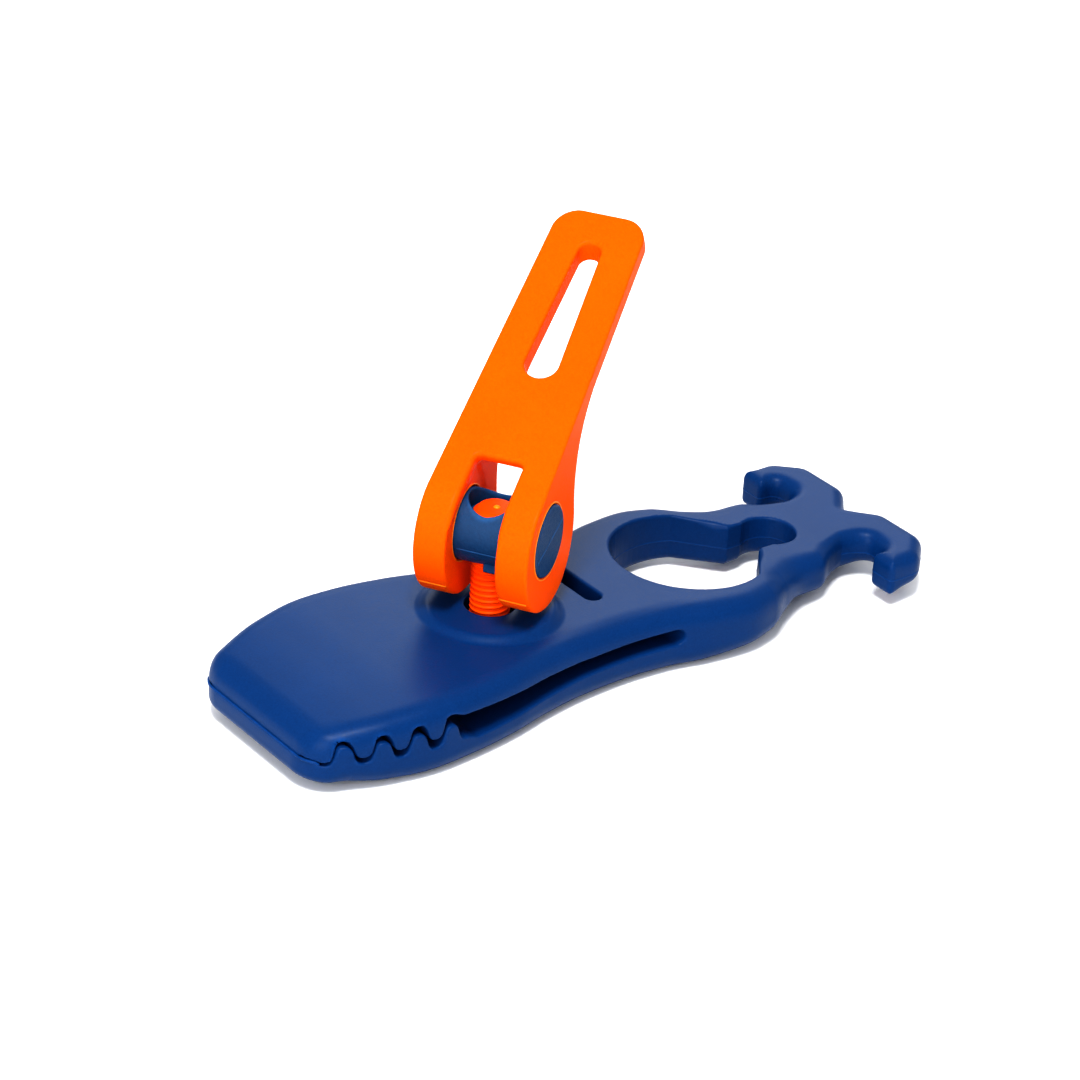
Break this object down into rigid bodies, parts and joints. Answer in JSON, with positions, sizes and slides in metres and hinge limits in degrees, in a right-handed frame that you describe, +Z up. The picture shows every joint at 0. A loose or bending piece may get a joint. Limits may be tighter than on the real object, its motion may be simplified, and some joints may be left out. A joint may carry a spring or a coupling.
{
  "type": "tarp clip",
  "caption": "Locking tarp clip: sprung toothed jaws drawn together by a cam lever on a cross barrel and threaded stud, with a keyhole eye and a hooked cord anchor behind.",
  "frame": {"origin": "on the flat underside, on the centre line, below the waist 20 mm behind the stud's axis", "axes": "+X from the jaws' lip towards the cord anchor, +Z up out of the underside, +Y to the left seen from the lip's end looking back along -X"},
  "size_m": [0.1542, 0.0626, 0.077],
  "materials": {
    "moulding": "satin, fine moulded grain",
    "orange": "satin",
    "barrel": "satin, grained"
  },
  "bodies": {
    "lower_body": {"lower_body": "moulding"},
    "upper_jaw": {"upper_jaw": "moulding"},
    "barrel": {"barrel": "barrel"},
    "lever": {"lever": "orange"},
    "stud": {"stud": "orange"}
  },
  "joints": [
    {"name": "jaw_flex", "type": "hinge", "parent": "lower_body", "child": "upper_jaw", "pos_m": [0.0012, 0, 0.01173], "axis": [0, 1, 0], "range_deg": [0, 8.5]},
    {"name": "lever_turn", "type": "hinge", "parent": "upper_jaw", "child": "barrel", "pos_m": [-0.02, 0, 0.0327], "axis": [0, 0, 1], "range_deg": [0, 900]},
    {"name": "lever_cam", "type": "hinge", "parent": "barrel", "child": "lever", "pos_m": [-0.02, 0, 0.0327], "axis": [0.524, -0.8517, 0], "range_deg": [-35, 80]},
    {"name": "stud_slide", "type": "slide", "parent": "upper_jaw", "child": "stud", "axis": [0, 0, 1], "range_m": [-0.0032, 0]}
  ],
  "couplings": [
    {"joint": "jaw_flex", "follows": "lever_turn", "ratio": 0.009384},
    {"joint": "stud_slide", "follows": "lever_turn", "m_per_rad": -0.00019894}
  ]
}
